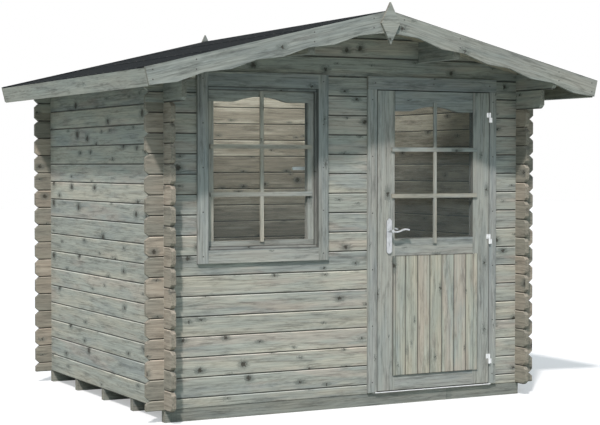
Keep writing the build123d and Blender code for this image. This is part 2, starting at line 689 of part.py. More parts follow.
# Handle plates on both faces of the lock stile: round below, with shoulders at the top
plate_half = PLATE_WIDTH / 2
top_half = PLATE_TOP_WIDTH / 2
with BuildPart() as handle_plates:
    for plate_y, keyhole_y in (
        (leaf_front, leaf_front - PLATE_THICK + KEYHOLE_DEEP),
        (leaf_back + PLATE_THICK, leaf_back + PLATE_THICK),
    ):
        with BuildSketch(facing_front(plate_y)) as face:
            with BuildLine() as outline:
                ThreePointArc((PLATE_X - plate_half, PLATE_LOW + plate_half), (PLATE_X, PLATE_LOW),
                              (PLATE_X + plate_half, PLATE_LOW + plate_half))
                Polyline((PLATE_X + plate_half, PLATE_LOW + plate_half),
                         (PLATE_X + plate_half, PLATE_SHOULDER), (PLATE_X + top_half, PLATE_SHOULDER))
                ThreePointArc((PLATE_X + top_half, PLATE_SHOULDER), (PLATE_X, PLATE_TOP),
                              (PLATE_X - top_half, PLATE_SHOULDER))
                Polyline((PLATE_X - top_half, PLATE_SHOULDER), (PLATE_X - plate_half, PLATE_SHOULDER),
                         (PLATE_X - plate_half, PLATE_LOW + plate_half))
            make_face()
            with Locations((PLATE_X, LEVER_LEVEL)):
                Circle(SPINDLE_HOLE_R, mode=Mode.SUBTRACT)
        extrude(amount=PLATE_THICK)
        with BuildSketch(facing_front(keyhole_y)) as keyhole:
            with Locations((PLATE_X, KEYHOLE_LEVEL)):
                Rectangle(*KEYHOLE)
        extrude(amount=KEYHOLE_DEEP, mode=Mode.SUBTRACT)
save(handle_plates.part, "handle_plates")

# Lever handles on one square spindle: each grip dips, rises to a crest and curls down at its tip
with BuildPart() as lever_handles:
    spindle_reach = LEAF_THICK / 2 + PLATE_THICK + LEVER_STAND
    with BuildSketch(facing_front(leaf_front + LEAF_THICK / 2)) as spindle:
        with Locations((PLATE_X, LEVER_LEVEL)):
            Rectangle(SPINDLE, SPINDLE)
    extrude(amount=spindle_reach - LEVER_CLEAR, both=True)
    for y, sign in ((leaf_front - PLATE_THICK, 1), (leaf_back + PLATE_THICK, -1)):
        with BuildSketch(facing_front(y - sign * LEVER_CLEAR)) as neck:
            with Locations((PLATE_X, LEVER_LEVEL)):
                Circle(NECK_R)
        extrude(amount=sign * (LEVER_STAND - LEVER_CLEAR))
        with BuildSketch(facing_front(y - sign * (LEVER_STAND - LEVER_DEEP))) as grip:
            root, dip, turn, tip = [(PLATE_X + along, LEVER_LEVEL + up)
                                    for along, up in ((0.0, 0.0), LEVER_DIP, LEVER_TURN, LEVER_TIP)]
            with BuildLine() as middle:
                fall = ThreePointArc(root, dip, turn)
                TangentArc(turn, tip, tangent=fall % 1)
            trace(middle.edges(), line_width=LEVER_THICK)
        extrude(amount=sign * LEVER_DEEP)
save(lever_handles.part, "lever_handles")
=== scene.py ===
# %% [markdown]
# A small log cabin of weathered softwood. The construction comes as a finished frame, in metres:
# this lesson dresses it. It sets up the camera and a plain studio, paints every timber with
# grain, knots and weathering, and adds what a carpenter adds last: roof boards, floor boards,
# the laps of the felt, nails and screws. The frame's own pieces are never moved.

# %% Load the frame
from math import atan, cos, radians, sin, sqrt

import bmesh
import bpy
from mathutils import Matrix, Vector


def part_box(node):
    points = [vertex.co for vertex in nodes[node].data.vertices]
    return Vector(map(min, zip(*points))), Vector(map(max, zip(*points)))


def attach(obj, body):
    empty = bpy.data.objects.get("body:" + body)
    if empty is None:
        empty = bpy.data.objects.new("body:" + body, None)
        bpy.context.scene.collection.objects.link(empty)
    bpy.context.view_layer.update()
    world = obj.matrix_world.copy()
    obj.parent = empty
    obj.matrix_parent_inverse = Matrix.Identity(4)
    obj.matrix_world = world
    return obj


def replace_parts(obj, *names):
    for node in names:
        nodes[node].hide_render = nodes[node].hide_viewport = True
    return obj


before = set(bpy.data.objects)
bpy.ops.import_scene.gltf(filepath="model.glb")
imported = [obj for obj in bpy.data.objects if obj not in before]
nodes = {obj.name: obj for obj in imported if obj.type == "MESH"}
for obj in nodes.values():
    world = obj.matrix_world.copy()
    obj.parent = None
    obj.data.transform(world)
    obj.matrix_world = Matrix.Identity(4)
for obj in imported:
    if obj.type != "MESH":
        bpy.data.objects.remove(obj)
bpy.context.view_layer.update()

# %% [markdown]
# The camera stands where the photograph was taken from: a little above the middle of the cabin's
# height and almost nine metres off its left front corner, with a long lens that keeps the
# log courses nearly parallel. The angles were found from the vanishing lines of the
# courses, and the distance from how much the side wall narrows towards the back.

# %% Camera
CAMERA_PLACE = (-4.576, -8.786, 1.432)
CAMERA_YAW = 27.98
CAMERA_DIP = 1.73
CAMERA_LENS = 93.3
SENSOR_WIDE = 36.0

camera_data = bpy.data.cameras.new("camera")
camera_data.lens = CAMERA_LENS
camera_data.sensor_width = SENSOR_WIDE
camera_data.sensor_fit = "HORIZONTAL"
camera = bpy.data.objects.new("camera", camera_data)
camera.location = CAMERA_PLACE
camera.rotation_euler = (radians(90 - CAMERA_DIP), 0, radians(-CAMERA_YAW))
bpy.context.scene.collection.objects.link(camera)
bpy.context.scene.camera = camera
bpy.context.scene.view_settings.view_transform = "Standard"
print("camera at", CAMERA_PLACE)

# %% [markdown]
# Shader maths is easier to read as sums than as a web of nodes. A small class wraps a socket, so
# that `1 - mask` or `wide * 3` adds the Math nodes by itself. Everything that is not plain
# maths goes through one method of the material, which takes the node's type, its
# settings and what feeds its inputs.

# %% A socket that does maths
class Signal:
    """A number, vector or colour that flows through a material."""

    def __init__(self, finish, socket):
        self.finish = finish
        self.socket = socket

    def maths(self, operation, other=None, turned=False):
        values = [self] if other is None else [other, self] if turned else [self, other]
        inputs = dict(enumerate(values))
        return self.finish.node("ShaderNodeMath", {"operation": operation}, inputs)

    def __add__(self, other):
        return self.maths("ADD", other)

    def __sub__(self, other):
        return self.maths("SUBTRACT", other)

    def __mul__(self, other):
        return self.maths("MULTIPLY", other)

    def __truediv__(self, other):
        return self.maths("DIVIDE", other)

    def __pow__(self, other):
        return self.maths("POWER", other)

    def __gt__(self, other):
        return self.maths("GREATER_THAN", other)

    def __lt__(self, other):
        return self.maths("LESS_THAN", other)

    def __rsub__(self, other):
        return self.maths("SUBTRACT", other, turned=True)

    __radd__ = __add__
    __rmul__ = __mul__

    def floor(self):
        return self.maths("FLOOR")

    def fract(self):
        return self.maths("FRACT")

    def size(self):
        return self.maths("ABSOLUTE")

    def larger(self, other):
        return self.maths("MAXIMUM", other)

    def rise(self, low, high):
        """0 below low, 1 above high, smooth between them."""
        settings = {"interpolation_type": "SMOOTHSTEP"}
        inputs = {"Value": self, "From Min": low, "From Max": high}
        return self.finish.node("ShaderNodeMapRange", settings, inputs)


# %% A material and its one way to add a node
class Finish:
    """One material. Its nodes are added by node(), and named inputs of its shader by set()."""

    def __init__(self, name):
        self.material = bpy.data.materials.new(name)
        self.material.use_nodes = True
        self.tree = self.material.node_tree
        self.shader = self.tree.nodes["Principled BSDF"]

    def feed(self, socket, value):
        if isinstance(value, Signal):
            self.tree.links.new(value.socket, socket)
        elif isinstance(value, tuple) and len(value) == 3 and len(socket.default_value) == 4:
            socket.default_value = (*value, 1.0)
        else:
            socket.default_value = value

    def node(self, kind, settings=None, inputs=None, output=0):
        made = self.tree.nodes.new(kind)
        for setting, value in (settings or {}).items():
            setattr(made, setting, value)
        for key, value in (inputs or {}).items():
            self.feed(made.inputs[key], value)
        return Signal(self, made.outputs[output])

    def set(self, **inputs):
        for key, value in inputs.items():
            self.feed(self.shader.inputs[key.replace("_", " ")], value)

    def split(self, vector):
        """A vector as three numbers, by the names of their axes."""
        parts = [self.node("ShaderNodeSeparateXYZ", inputs={0: vector}, output=n) for n in range(3)]
        return dict(zip("xyz", parts))

    def place(self):
        """The point being shaded, as three numbers in the cabin's own metres."""
        return self.split(self.node("ShaderNodeTexCoord", output="Object"))

    def facing(self):
        """The surface's normal in the piece's own axes."""
        return self.split(self.node("ShaderNodeTexCoord", output="Normal"))

    def vector(self, x, y, z=0.0):
        return self.node("ShaderNodeCombineXYZ", inputs={0: x, 1: y, 2: z})

    def noise(self, at, detail=2.0, rough=0.5, scale=1.0):
        inputs = {"Vector": at, "Scale": scale, "Detail": detail, "Roughness": rough}
        return self.node("ShaderNodeTexNoise", inputs=inputs)

    def chance(self, number):
        """A random number, the same one wherever the given number is the same."""
        return self.node("ShaderNodeTexWhiteNoise", {"noise_dimensions": "1D"}, {"W": number})

    def mix(self, share, first, second, how="MIX"):
        settings = {"data_type": "RGBA", "blend_type": how}
        return self.node("ShaderNodeMix", settings, {0: share, 6: first, 7: second}, output=2)

    def bump(self, height, depth, strength=1.0):
        inputs = {"Height": height, "Distance": depth, "Strength": strength}
        self.set(Normal=self.node("ShaderNodeBump", inputs=inputs))


def tone(red, green, blue):
    """A colour as a paint chart gives it, 0 to 255, turned into light."""
    parts = (red / 255, green / 255, blue / 255)
    return tuple(c / 12.92 if c < 0.04045 else ((c + 0.055) / 1.055) ** 2.4 for c in parts)


print("a middle grey is", tone(128, 128, 128))

# %% [markdown]
# Weathered spruce is grey-green where the rain reaches it, blue-grey in the lee and still beige
# where the surface is fresh. Each log came from another tree, so each gets its own throw of the
# dice: a shift in colour and its own stretch of grain. Along the grain everything is drawn out,
# so the noise is squeezed lengthways. Growth rings are the contour lines of one slow noise.
# Knots are the centres of the cells of a Voronoi texture, small, dark, each with a grey halo.

# %% Timber colours
GREY_GREEN = tone(160, 162, 153)
BLUE_GREY = tone(142, 146, 142)
BEIGE = tone(183, 177, 161)
PINKISH = tone(171, 159, 148)
BROWNISH = tone(133, 127, 114)
WEATHERED_END = tone(160, 147, 132)
KNOT = tone(54, 49, 42)
HALO = tone(88, 95, 91)
FRESH = tone(180, 177, 162)
FRESH_DARK = tone(144, 139, 125)
JOINERY = tone(150, 153, 148)
WEATHER_SHADES = (GREY_GREEN, BLUE_GREY, BEIGE, PINKISH)
JOINT_BEVEL = 0.005
ROOM_MARGIN = 0.004
room_low, room_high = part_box("floor_boards")
wall_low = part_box("front_wall_odd_logs")[0]
wall_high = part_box("back_wall_odd_logs")[1]
side_low, side_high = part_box("wall_plates")
WALL_FACES = {"x": (side_low.x, side_high.x), "y": (wall_low.y, wall_high.y)}
CORBEL_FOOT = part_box("corbel_logs")[0].z + 0.001


# %% Markings of the grain
# Every marking is a noise of its own. The numbers are how often it repeats in a metre along the
# grain and across it, which stretch of the noise it reads, where it begins across, and its
# detail and roughness. The markings in ROUND_KNOTS flow round the knots.
MARKINGS = {
    "slow": (0.9, 9, 1, 0, 1.0, 0.5),
    "streak": (2.4, 90, 1, 0, 4.0, 0.7),
    "fine": (12, 320, 1, 0, 2.0, 0.5),
    "check": (3.2, 120, 5, 0, 2.0, 0.5),
    "cloud": (1.9, 14, 1, 0, 4.0, 0.7),
    "patch": (1.6, 12, 2, 9, 4.0, 0.6),
    "blush": (1.9, 12, 3, 4, 3.0, 0.6),
    "grime": (5, 30, 4, 0, 5.0, 0.75),
}
ROUND_KNOTS = ("slow", "streak", "fine", "check")
RINGS = 26.0


def markings(finish, along, width, depth, bent, shift):
    """Every marking of a timber, from 0 to 1. bent is the width as the knots push it aside."""
    marks = {}
    for mark, (length, spread, stretch, begin, detail, rough) in MARKINGS.items():
        flow = bent if mark in ROUND_KNOTS else width
        at = finish.vector(along * length + shift * stretch, flow * spread + begin, depth * spread)
        marks[mark] = finish.noise(at, detail, rough)
    marks["rings"] = ((marks["slow"] * RINGS).fract() - 0.5).size() * 2.0
    return marks


# %% Knots
EDGE_WOBBLE = (0.26, 0.2)
KNOT_LEAST = 0.3
KNOT_RARITY = 2.2
KNOT_FADE = (0.45, 1.2)
HALO_DRAWN = 0.32
HALO_FADE = (0.4, 2.6)
HALO_LIMIT = (0.12, 0.36)
KNOT_BEND = 0.012


def knots(finish, along, width, shift, other_dice, gap, size, share, stretch):
    """The knots and the drawn-out halos round them, both from 0 to 1. gap is the mean distance
    between knots, stretch how much wider it is across the grain, size the largest radius, and
    share the part of the cells that holds a knot."""
    wobble = finish.noise(finish.vector(along * 70, width * 70, shift), 3.0, 0.7) - 0.5
    wobble_too = finish.noise(finish.vector(width * 90, along * 90, shift + 3), 3.0, 0.7) - 0.5
    cell_x = (along + shift) / gap + wobble * EDGE_WOBBLE[0]
    cell_y = (width + other_dice * 3.0) / (gap * stretch) + wobble_too * EDGE_WOBBLE[1]
    cells = finish.vector(cell_x, cell_y)
    settings = {"voronoi_dimensions": "2D", "feature": "F1"}
    inputs = {"Vector": cells, "Scale": 1.0}
    centre = finish.node("ShaderNodeTexVoronoi", settings, inputs, "Position")
    cell_colour = finish.node("ShaderNodeTexVoronoi", settings, inputs, "Color")
    offset = finish.split(finish.node("ShaderNodeVectorMath", {"operation": "SUBTRACT"},
                                      {0: cells, 1: centre}))
    luck, luck_size = [finish.node("ShaderNodeSeparateColor", inputs={0: cell_colour}, output=n)
                       for n in range(2)]
    off_along = offset["x"] * gap
    off_across = offset["y"] * gap * stretch
    away = (off_along ** 2.0 + off_across ** 2.0) ** 0.5
    away_drawn = ((off_along * HALO_DRAWN) ** 2.0 + off_across ** 2.0) ** 0.5
    radius = luck_size ** KNOT_RARITY * size + size * KNOT_LEAST
    present = luck < share
    within = 1 - (away / gap).rise(*HALO_LIMIT)
    knot = (1 - (away / radius).rise(*KNOT_FADE)) * present
    halo = (1 - (away_drawn / radius).rise(*HALO_FADE)) * present * within
    return knot, halo


# %% Colour of the weather
def weathered(finish, marks, dice, other_dice, shades, warm):
    """Blue-grey and grey-green clouds, with beige and pinkish patches. warm says how many."""
    greys, blues, beiges, pinks = shades
    board = (dice - 0.5) * 0.2
    other_board = (other_dice - 0.5) * 0.2
    colour = finish.mix((marks["cloud"] + board).rise(0.28, 0.56), blues, greys)
    beige_share = (marks["patch"] + board).rise(0.42, 0.7) * (0.4 + warm * 0.5)
    colour = finish.mix(beige_share, colour, beiges)
    blush_share = (marks["blush"] + other_board).rise(0.48, 0.68) * warm * 0.9
    return finish.mix(blush_share, colour, pinks)


def fresh_indoors(finish, colour, place, patch, dice):
    """The colour, but that of fresh wood on every face of the room."""
    inside = (place["x"] > room_low.x - ROOM_MARGIN) * (place["x"] < room_high.x + ROOM_MARGIN)
    inside = inside * (place["y"] > room_low.y - ROOM_MARGIN)
    inside = inside * (place["y"] < room_high.y + ROOM_MARGIN)
    fresh = finish.mix((patch + (dice - 0.5) * 0.3).rise(0.38, 0.62), FRESH_DARK, FRESH)
    return finish.mix(inside, colour, fresh)


def brown_past_corners(finish, colour, place, along, grain, dice):
    """The colour, browner on the ends of the logs that stand out past the corners."""
    low, high = WALL_FACES[grain]
    past = (along < low - 0.001).larger(along > high + 0.001) * (place["z"] < CORBEL_FOOT)
    end_tone = finish.mix(dice.rise(0.2, 0.8), BROWNISH, WEATHERED_END)
    return finish.mix(past * 0.75, colour, end_tone)


# %% Painted shade of joints and seams, and a painted highlight on the log bevels
# Painted shade darkens the V grooves, the gaps along the seams, each log's lower bevel and the
# crack between logs; a painted highlight lightens each log's upper bevel.
SEAM_FADE = (0.001, 0.0045)
SEAM_PAINTED_SHADE = 0.5
GROOVE_PAINTED_SHADE = 0.6
BEVEL_PAINTED_SHADE = 0.8
BEVEL_PAINTED_HIGHLIGHT = 0.38
CRACK_PAINTED_SHADE = 0.5


def groove_shade(shade, rows, pitch, groove):
    """The shade, with painted shade in the V joints between two boards."""
    off_joint = (rows.fract() - 0.5).size() * pitch
    return shade * (1 - off_joint.rise(pitch / 2 - groove, pitch / 2 - groove * 0.35) * GROOVE_PAINTED_SHADE)


def seam_shade(shade, place, seams):
    """The shade, with painted shade along the gap of each seam."""
    for centre_x, half, low, high in seams:
        beyond = (place["x"] - centre_x).size() - half
        above = (place["z"] - (low + high) / 2).size() - (high - low) / 2
        seam = 1 - beyond.larger(above).size().rise(*SEAM_FADE)
        shade = shade * (1 - seam * SEAM_PAINTED_SHADE)
    return shade


def log_shade(shade, rows, pitch, end_cut):
    """The shade, with painted shade on a log's lower bevel and in the crack, and a painted
    highlight on its upper bevel.
    """
    up = rows.fract() * pitch
    lower_bevel_shade = 1 - up.rise(JOINT_BEVEL * 0.9, JOINT_BEVEL * 1.7)
    upper_bevel_highlight = up.rise(pitch - JOINT_BEVEL * 1.5, pitch - JOINT_BEVEL)
    crack = up.rise(pitch - JOINT_BEVEL * 0.35, pitch - JOINT_BEVEL * 0.1)
    shade = shade * (1 - lower_bevel_shade * BEVEL_PAINTED_SHADE * (1 - end_cut)) * (1 - crack * CRACK_PAINTED_SHADE)
    return shade * (1 + upper_bevel_highlight * BEVEL_PAINTED_HIGHLIGHT * (1 - end_cut))


# %% One recipe for every timber
BOARD_SHIFT = 9.0
OTHER_END = 41.0
OTHER_STILE = 5.0
FIRST_BAND = 7.0
GRAIN_DEPTH = 0.002


def timber(name, grain, across, pitch, start, sides=None, shades=WEATHER_SHADES, indoors=False,
           seed=0.0, knot_gap=0.15, knot_size=0.017, knot_share=0.65, knot_stretch=1.0, lean=0.0,
           warm=0.5, logs=False, middle=None, bands=(), groove=0.0, seams=()):
    """A weathered timber. grain and across are the axes along and across a board, pitch and
    start say where one board ends and the next begins, and sides is the axis whose two ends
    hold different boards. lean is the slope of the grain, for boards that follow the roof.
    logs puts painted shade on each log's lower bevel and in the crack between two logs, a painted
    highlight on its upper bevel, and browns the ends past the corners, where the rain gets at them
    from both sides. Joinery has a middle, which parts its left stile from its right, and
    bands of height in which its grain runs level, for its rails and bars. groove is the
    width of the V joint between two boards, which gets painted shade, and seams are the rectangles,
    each a middle, half a width and two heights, along which two pieces meet and painted shade
    darkens the gap."""
    finish = Finish(name)
    place = finish.place()
    facing = finish.facing()
    third = "xyz".replace(grain, "").replace(across, "")
    along = place[grain]
    width = place[across]
    depth = place[third]
    end_cut = facing[grain].size()
    if lean:
        width = place[across] * cos(lean) - along * sin(lean)
        along = along * cos(lean) + place[across] * sin(lean)
    rows = (width - start) / pitch
    lot = rows.floor() + seed
    if sides:
        lot = lot + (place[sides] > 0.0) * OTHER_END
    if middle is not None:
        lot = lot + (place["x"] > middle) * OTHER_STILE
    if bands:
        level = 0.0
        number = 0.0
        for count, (low, high) in enumerate(bands):
            here = (place["z"] > low) * (place["z"] < high)
            level = here + level
            number = here * (FIRST_BAND + count) + number
        lot = lot * (1 - level) + (number + seed) * level
        swing = (place["x"] - place["z"]) * level
        along = place["z"] + swing
        width = place["x"] - swing
        end_cut = end_cut * (1 - level) + facing["x"].size() * level
    dice = finish.chance(lot)
    other_dice = finish.chance(lot + 0.37)
    shift = dice * BOARD_SHIFT

    knot, halo = knots(finish, along, width, shift, other_dice, knot_gap, knot_size, knot_share,
                       knot_stretch)
    marks = markings(finish, along, width, depth, width + halo * KNOT_BEND, shift)
    streak, rings, fine = marks["streak"], marks["rings"], marks["fine"]
    colour = weathered(finish, marks, dice, other_dice, shades, warm)
    end_cut_mask = end_cut.rise(0.6, 0.8)
    if indoors:
        colour = fresh_indoors(finish, colour, place, marks["patch"], dice)
    if logs:
        colour = brown_past_corners(finish, colour, place, along, grain, dice)
    colour = finish.mix(end_cut_mask * 0.6, colour, BROWNISH)

    shade = 0.2 + streak * 1.08 + rings * 0.08 + fine * 0.34 + (other_dice - 0.5) * 0.16
    shade = shade * (1.14 - marks["grime"].rise(0.46, 0.72) * 0.48)
    shade = shade * (1 - marks["check"].rise(0.6, 0.7) * 0.3)
    # Painted shade in the V grooves, along the seams and on the log bevels, and a painted highlight
    # on the upper bevels.
    if groove:
        shade = groove_shade(shade, rows, pitch, groove)
    shade = seam_shade(shade, place, seams)
    if logs:
        shade = log_shade(shade, rows, pitch, end_cut_mask)
    colour = finish.mix(1.0, colour, finish.vector(shade, shade, shade), "MULTIPLY")
    colour = finish.mix(halo * 0.55 * (1 - end_cut_mask), colour, HALO)
    colour = finish.mix(knot * 0.84 * (1 - end_cut_mask), colour, KNOT)
    finish.set(Base_Color=colour, Roughness=0.72 + streak * 0.16)
    finish.shader.inputs["Specular IOR Level"].default_value = 0.25
    finish.bump(streak * 0.6 + rings * 0.25 + fine * 0.35 - knot * 0.4, GRAIN_DEPTH, 0.7)
    return finish.material


print("timber recipe ready; room from", tuple(room_low), "to", tuple(room_high))

# %% [markdown]
# The side logs run front to back and start a whole course above the joists; the front and back
# logs run across and start half a course lower. That is how the corners interlock, and
# the recipe needs the same two starting heights, so that no log changes colour halfway up.

# %% Logs
COURSE = 0.114
JOIST_GAP = 0.471
JOIST_START = -0.2
joist_low, joist_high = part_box("floor_joists")
BASE = joist_high.z
JOIST_SHADES = (tone(134, 137, 131), tone(120, 126, 124), tone(146, 144, 132), tone(138, 130, 118))
side_log = timber("weathered_side_logs", "y", "z", COURSE, BASE, sides="x", indoors=True,
                  knot_gap=0.19, knot_size=0.021, knot_stretch=1.15, seed=3.0, logs=True,
                  warm=0.5)
end_log = timber("weathered_front_logs", "x", "z", COURSE, BASE - COURSE / 2, sides="y",
                 indoors=True, seed=11.0, logs=True, warm=0.6, knot_size=0.0155)
joist_wood = timber("rough_joists", "x", "y", JOIST_GAP, joist_low.y + JOIST_START, seed=70.0,
                    shades=JOIST_SHADES)

# %% Boards of the roof and its trim
SLOPE = 0.242
PITCH = atan(SLOPE)
ROOF_BOARD = 0.088
FLOOR_BOARD = 0.094
# A pitch and a start. A pitch wider than the cabin makes a whole piece one board.
ONE_BOARD = (9.0, -4.0)
ONE_PURLIN = (9.0, -0.5)
TRIM_SHADES = (tone(151, 154, 147), tone(137, 142, 138), tone(165, 163, 151), tone(156, 149, 140))
OLD_TRIM_SHADES = (tone(138, 142, 136), tone(122, 129, 126), tone(152, 150, 139),
                   tone(144, 138, 129))
ROOF_SHADES = (tone(168, 160, 142), tone(150, 148, 138), tone(184, 170, 144), tone(170, 148, 128))
slope_box_low, slope_box_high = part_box("roof_felt_left")
roof_front = slope_box_low.y
barge_woods = {
    side: timber(f"barge_wood_{side}", "x", "z", *ONE_BOARD, sides="y", seed=seed, lean=lean,
                 shades=shades, knot_gap=0.19, knot_size=0.012, knot_share=0.6, warm=0.35)
    for side, seed, lean, shades in (("left", 101.0, PITCH, TRIM_SHADES),
                                     ("right", 131.0, -PITCH, OLD_TRIM_SHADES))
}
fascia_wood = timber("fascia_wood", "y", "z", *ONE_BOARD, sides="x", seed=150.0,
                     shades=TRIM_SHADES, knot_gap=0.3, warm=0.3)
finial_wood = timber("finial_wood", "x", "z", *ONE_BOARD, sides="y", seed=171.0, warm=0.4,
                     shades=TRIM_SHADES, knot_share=0.15)
purlin_wood = timber("purlin_wood", "y", "x", *ONE_PURLIN, sides="x", seed=181.0, warm=0.2)
roof_board_wood = timber("roof_board_wood", "x", "y", ROOF_BOARD, roof_front, sides="x",
                         seed=200.0, shades=ROOF_SHADES)
floor_wood = timber("floor_wood", "y", "x", FLOOR_BOARD, room_low.x, seed=260.0,
                    shades=(FRESH, FRESH_DARK, BEIGE, PINKISH))

# %% [markdown]
# The joinery is planed, so it is more even than the logs. Stiles stand and rails lie: one recipe
# serves both, with bands of height in which the grain turns level. Where two pieces meet, a narrow
# gap lies in shade, so each such rectangle is written down once, and its edges get painted shade.

# %% Where the joinery meets
window_middle = sum(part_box("window_glass"), Vector()).x / 2
door_middle = sum(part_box("door_glass"), Vector()).x / 2
CASING_HALF = 0.3505
LIP_HALF = 0.342
LEAF_HALF = 0.4015
PANEL_HALF = 0.280
CASING_LEVELS = (BASE + 0.887, BASE + 1.806)
LIP_LEVELS = (BASE + 0.902, BASE + 1.790)
SASH_LEVELS = (BASE + 0.934, BASE + 1.725)
LEAF_LEVELS = (BASE + 0.014, BASE + 1.810)
PANEL_LEVELS = (BASE + 0.105, BASE + 0.821)
DOOR_GLASS_LEVELS = (BASE + 0.926, BASE + 1.810)
WINDOW_SEAMS = ((window_middle, CASING_HALF, *CASING_LEVELS),
                (window_middle, LIP_HALF, *LIP_LEVELS))
LEAF_SEAMS = ((door_middle, LEAF_HALF, *LEAF_LEVELS),)
RAIL_SEAMS = LEAF_SEAMS + ((door_middle, PANEL_HALF, *PANEL_LEVELS),
                           (door_middle, PANEL_HALF, *DOOR_GLASS_LEVELS))

# %% Joinery
JOINERY_SHADES = (JOINERY, tone(137, 142, 141), tone(165, 162, 151), tone(158, 150, 142))
SASH_SHADES = (tone(156, 157, 149), tone(146, 149, 145), tone(172, 167, 152), tone(164, 154, 142))
BAR_SHADES = (tone(162, 160, 149), tone(147, 151, 147), tone(186, 174, 153), tone(176, 162, 144))
PANEL_SHADES = (tone(166, 167, 155), tone(148, 154, 150), tone(182, 175, 157),
                tone(170, 157, 144))
WHOLE = 20.0
# A middle beyond the cabin keeps both halves of a level bar one board.
NO_MIDDLE = 9.0
BAR_HALF = 0.0125
WINDOW_BAR_LEVELS = (1.198, 1.470)
DOOR_BAR_LEVELS = (1.180, 1.458)
LEVEL_PIECES = (0.2, -0.05)
PANEL_BOARD = 0.608 / 7
PANEL_LEFT = 0.267
SMALL_KNOTS = {"knot_gap": 0.21, "knot_size": 0.011, "knot_share": 0.5}


def joinery(name, seed, middle, bands=(), shades=JOINERY_SHADES, seams=()):
    """Stiles whose grain stands, with rails or bars across them in the bands."""
    return timber(name, "z", "x", WHOLE, -WHOLE / 2, seed=seed, shades=shades, warm=0.3,
                  middle=middle, bands=bands, seams=seams, **SMALL_KNOTS)


def glass_bands(piece, low, high):
    """Everything of a piece below one height and above another."""
    foot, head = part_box(piece)
    return ((foot.z - 0.01, low), (high, head.z + 0.01))


def bar_bands(levels):
    """The heights that each level bar takes up."""
    return [(BASE + at - BAR_HALF, BASE + at + BAR_HALF) for at in levels]


window_frame_wood = joinery("window_frame_wood", 300.0, window_middle,
                            glass_bands("window_frame", *LIP_LEVELS), seams=WINDOW_SEAMS)
sash_wood = joinery("sash_wood", 310.0, window_middle, glass_bands("window_sash", *SASH_LEVELS),
                    SASH_SHADES, WINDOW_SEAMS[1:])
window_bar_wood = joinery("window_bar_wood", 320.0, NO_MIDDLE, bar_bands(WINDOW_BAR_LEVELS),
                          BAR_SHADES)
door_bar_wood = joinery("door_bar_wood", 330.0, NO_MIDDLE, bar_bands(DOOR_BAR_LEVELS), BAR_SHADES)
window_upright_wood = joinery("window_casing_wood", 340.0, window_middle, seams=WINDOW_SEAMS)
door_upright_wood = joinery("door_upright_wood", 350.0, door_middle, seams=LEAF_SEAMS)
stile_wood = joinery("door_stile_wood", 360.0, door_middle, seams=RAIL_SEAMS)
level_wood = timber("joinery_level", "x", "z", *LEVEL_PIECES, seed=370.0, shades=JOINERY_SHADES,
                    warm=0.3, seams=WINDOW_SEAMS[:1] + RAIL_SEAMS, **SMALL_KNOTS)
panel_wood = timber("door_panel_wood", "z", "x", PANEL_BOARD, PANEL_LEFT, seed=380.0,
                    shades=PANEL_SHADES, knot_gap=0.2, knot_size=0.012, knot_share=0.45, warm=0.7,
                    groove=0.006, seams=RAIL_SEAMS[1:2])
print("timbers:", len(bpy.data.materials))

# %% [markdown]
# Roofing felt is bitumen dusted with crushed slate: nearly black, dull, and rough at the scale of
# sand. A little of the dust is paler, and long slow stains follow the fall of the roof.

# %% Roofing felt
felt = Finish("roofing_felt")
felt_place = felt.place()
felt_at = felt.vector(felt_place["x"], felt_place["y"], felt_place["z"])
grit = felt.noise(felt_at, 2.0, 0.7, 420.0)
stain = felt.noise(felt.vector(felt_place["x"] * 1.5, felt_place["y"] * 6, 0.0), 3.0)
felt_colour = felt.mix(grit.rise(0.4, 0.7), tone(20, 23, 25), tone(40, 44, 46))
felt_colour = felt.mix(stain.rise(0.4, 0.7) * 0.3, felt_colour, tone(38, 42, 42))
felt.set(Base_Color=felt_colour, Roughness=0.9 + grit * 0.1)
felt.shader.inputs["Specular IOR Level"].default_value = 0.04
felt.bump(grit, 0.0012, 0.8)
felt_material = felt.material

# %% [markdown]
# Window glass is thin, so it needs no refraction: the pane lets light straight through and adds a
# weak reflection. An almost clear surface with a low alpha does that, lets the sun into
# the room without noise, and comes out the same in other programs.

# %% Glass
glass = Finish("window_glass")
glass.set(Base_Color=tone(150, 164, 164), Roughness=0.03, Alpha=0.06)
glass_material = glass.material


# %% Metals
def metal(name, colour, roughness):
    """Brushed metal, a little duller in places from handling and weather."""
    finish = Finish(name)
    place = finish.place()
    at = finish.vector(place["x"] * 900, place["y"] * 900, place["z"] * 60)
    brushed = finish.noise(at, 2.0)
    smear = finish.noise(finish.vector(place["x"], place["y"], place["z"]), 2.0, 0.5, 40.0)
    dull = tuple(c * 0.72 for c in colour)
    finish.set(Base_Color=finish.mix(smear.rise(0.35, 0.7) * 0.5, colour, dull), Metallic=1.0,
               Roughness=roughness + brushed * 0.12 + smear * 0.1)
    finish.bump(brushed, 0.0002, 0.3)
    return finish.material


satin_metal = metal("satin_aluminium", tone(200, 203, 205), 0.30)
hinge_steel = metal("zinc_plated_steel", tone(236, 238, 238), 0.34)
screw_steel = metal("dark_screws", tone(98, 98, 96), 0.45)
coated = Finish("white_coated_handle")
coated.set(Base_Color=tone(243, 244, 241), Roughness=0.38)

# %% [markdown]
# Every node of the frame now gets the finish of its timber. The list goes from the name of a node
# to its material, by the words that the names hold. Where several lines match a name, the
# last of them wins.

